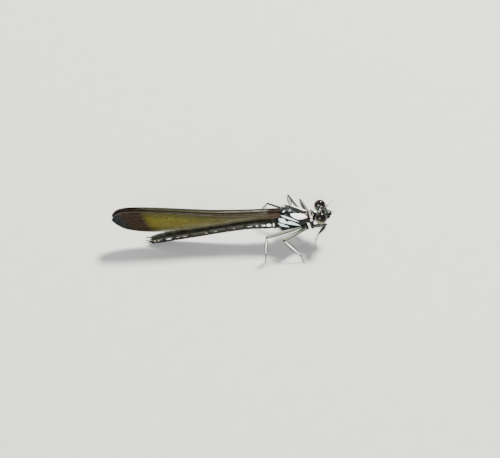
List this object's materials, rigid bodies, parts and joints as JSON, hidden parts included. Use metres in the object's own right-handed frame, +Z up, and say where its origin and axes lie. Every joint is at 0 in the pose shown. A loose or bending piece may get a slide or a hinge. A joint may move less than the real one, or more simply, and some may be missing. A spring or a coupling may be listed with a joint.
{
  "type": "damselfly",
  "caption": "Still model of a jewel damselfly at life size, standing on the floor with its wings closed over its back and the tip of its tail down.",
  "frame": {"origin": "centre of the base of the whole model's box, on the floor", "axes": "+X towards the head, +Y towards the animal's left side, +Z up"},
  "size_m": [0.032, 0.0106, 0.0067],
  "materials": {
    "shell": "near black with a faint green metallic gloss, as insect shell",
    "abdomen": "near black with a bronze gloss, as insect shell",
    "eye": "very dark brown, smooth and shiny, faceted",
    "leg": "satin grey and black shell",
    "wing": "thin amber membrane, dark brown at the tips, shiny"
  },
  "bodies": {
    "root": {"head": "shell", "eye_left": "eye", "eye_right": "eye", "antenna_left": "leg", "antenna_right": "leg", "prothorax": "shell", "synthorax": "shell", "wing_fore_left": "wing", "wing_fore_right": "wing", "wing_hind_left": "wing", "wing_hind_right": "wing", "abdomen_1": "abdomen", "abdomen_2": "abdomen", "abdomen_3": "abdomen", "abdomen_4": "abdomen", "abdomen_5": "abdomen", "abdomen_6": "abdomen", "abdomen_7": "abdomen", "abdomen_8": "abdomen", "abdomen_9": "abdomen", "abdomen_10": "abdomen", "leg_front_left_femur": "leg", "leg_front_left_tibia": "leg", "leg_front_right_femur": "leg", "leg_front_right_tibia": "leg", "leg_middle_left_femur": "leg", "leg_middle_left_tibia": "leg", "leg_middle_right_femur": "leg", "leg_middle_right_tibia": "leg", "leg_hind_left_femur": "leg", "leg_hind_left_tibia": "leg", "leg_hind_right_femur": "leg", "leg_hind_right_tibia": "leg"}
  },
  "joints": []
}
